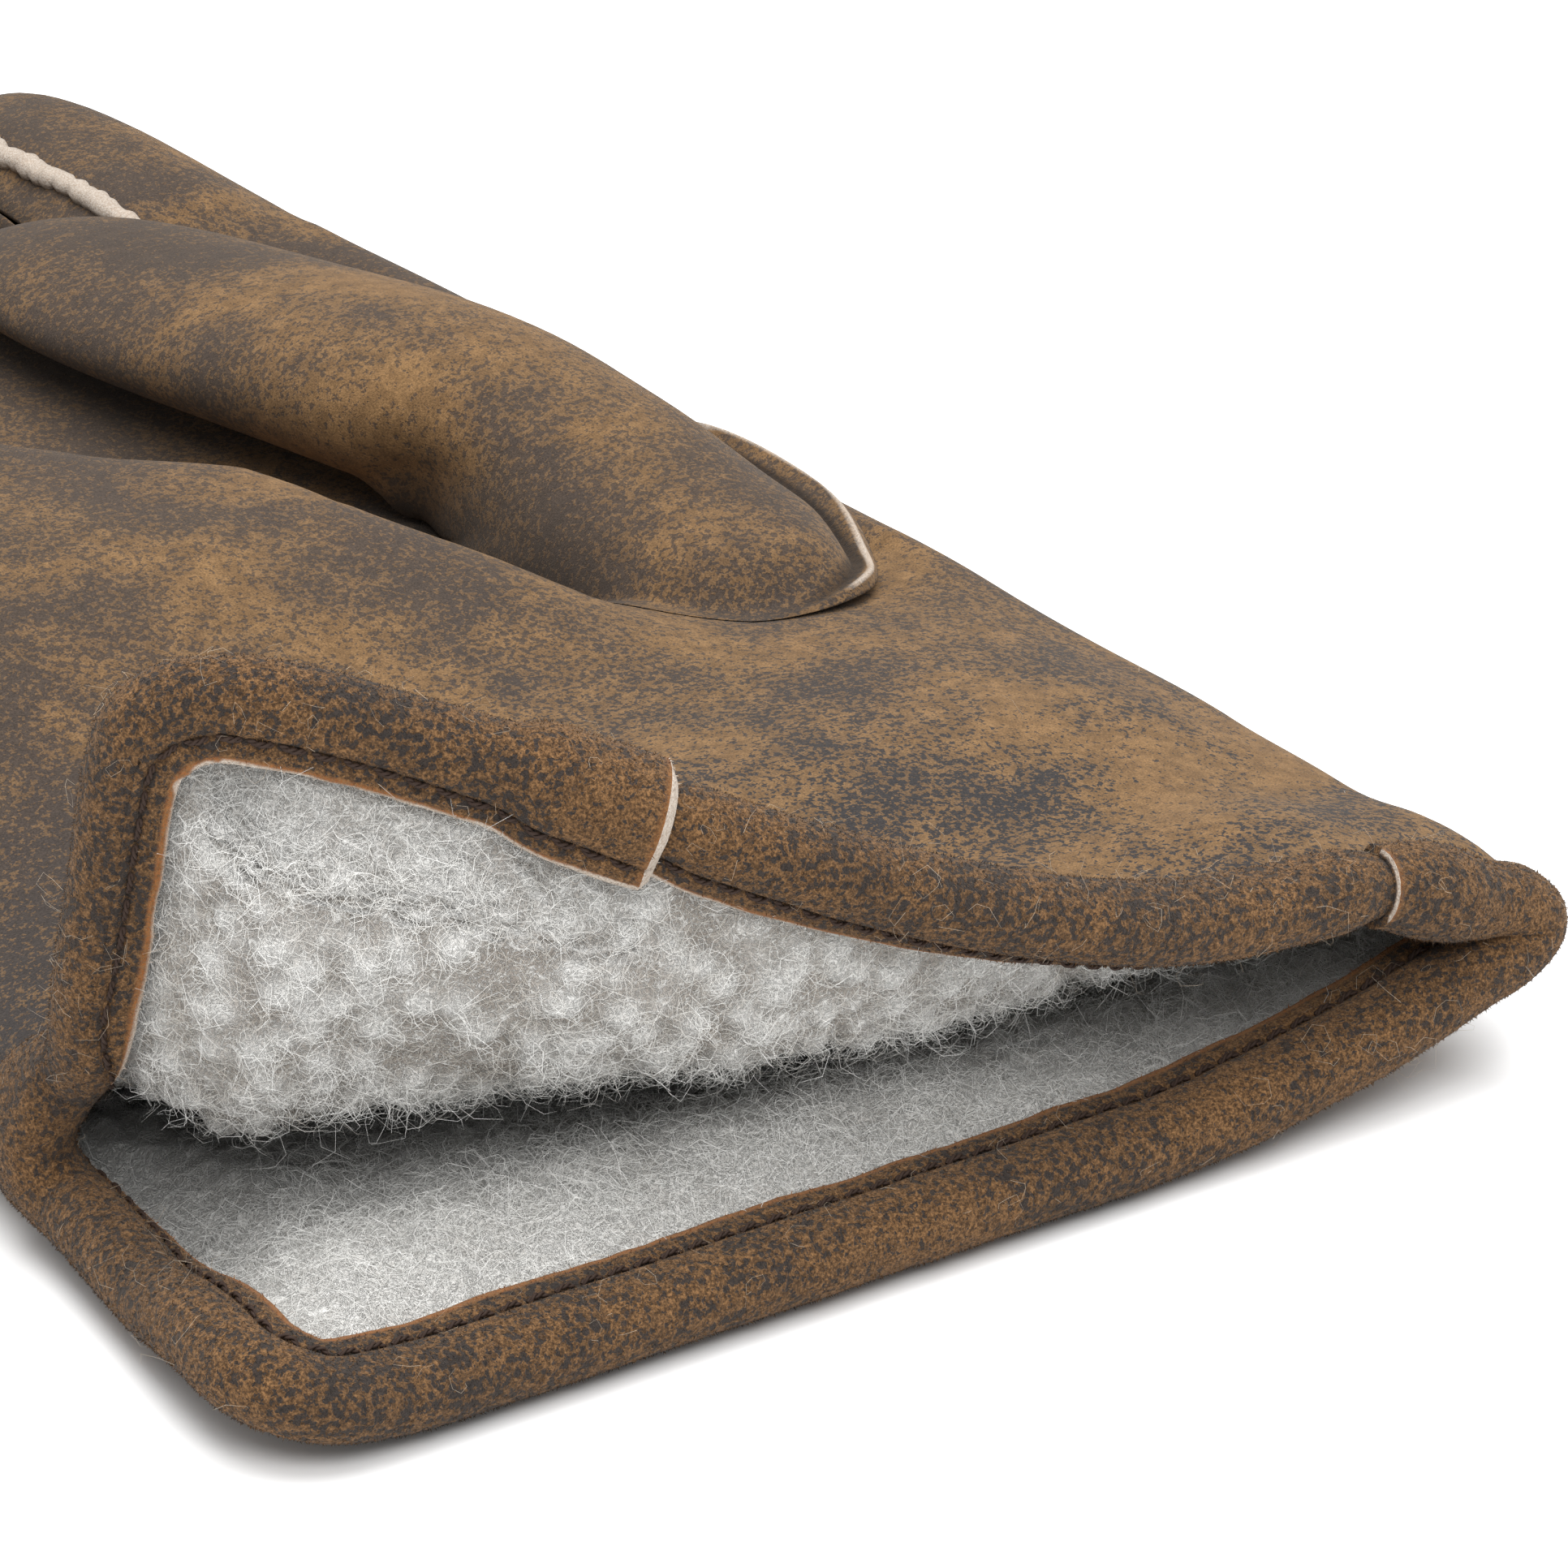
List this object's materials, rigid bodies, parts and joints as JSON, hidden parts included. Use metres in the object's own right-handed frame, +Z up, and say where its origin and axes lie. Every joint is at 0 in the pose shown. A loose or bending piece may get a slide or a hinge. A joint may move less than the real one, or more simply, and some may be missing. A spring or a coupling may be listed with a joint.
{
  "type": "sheepskin glove",
  "caption": "Right-hand glove in napped leather with a wool-pile lining, lying palm up; the bound cuff has a side vent and its upper panel is folded back to show the pile.",
  "frame": {"origin": "on the flat back of the hand, where the glove rests on the surface, 110 mm from the cuff's hem", "axes": "+Y from the cuff towards the finger tips, +X towards the thumb side, +Z up out of the palm"},
  "size_m": [0.118, 0.2514, 0.0515],
  "materials": {
    "leather": "napped, worn",
    "binding": "suede",
    "wool": "curly pile"
  },
  "bodies": {
    "root": {"trank": "leather", "fourchette_ring_little": "leather", "fourchette_middle_ring": "leather", "fourchette_index_middle": "leather", "thumb": "leather", "cuff_binding_long": "binding", "cuff_binding_short": "binding", "wool_lining": "wool"}
  },
  "joints": []
}
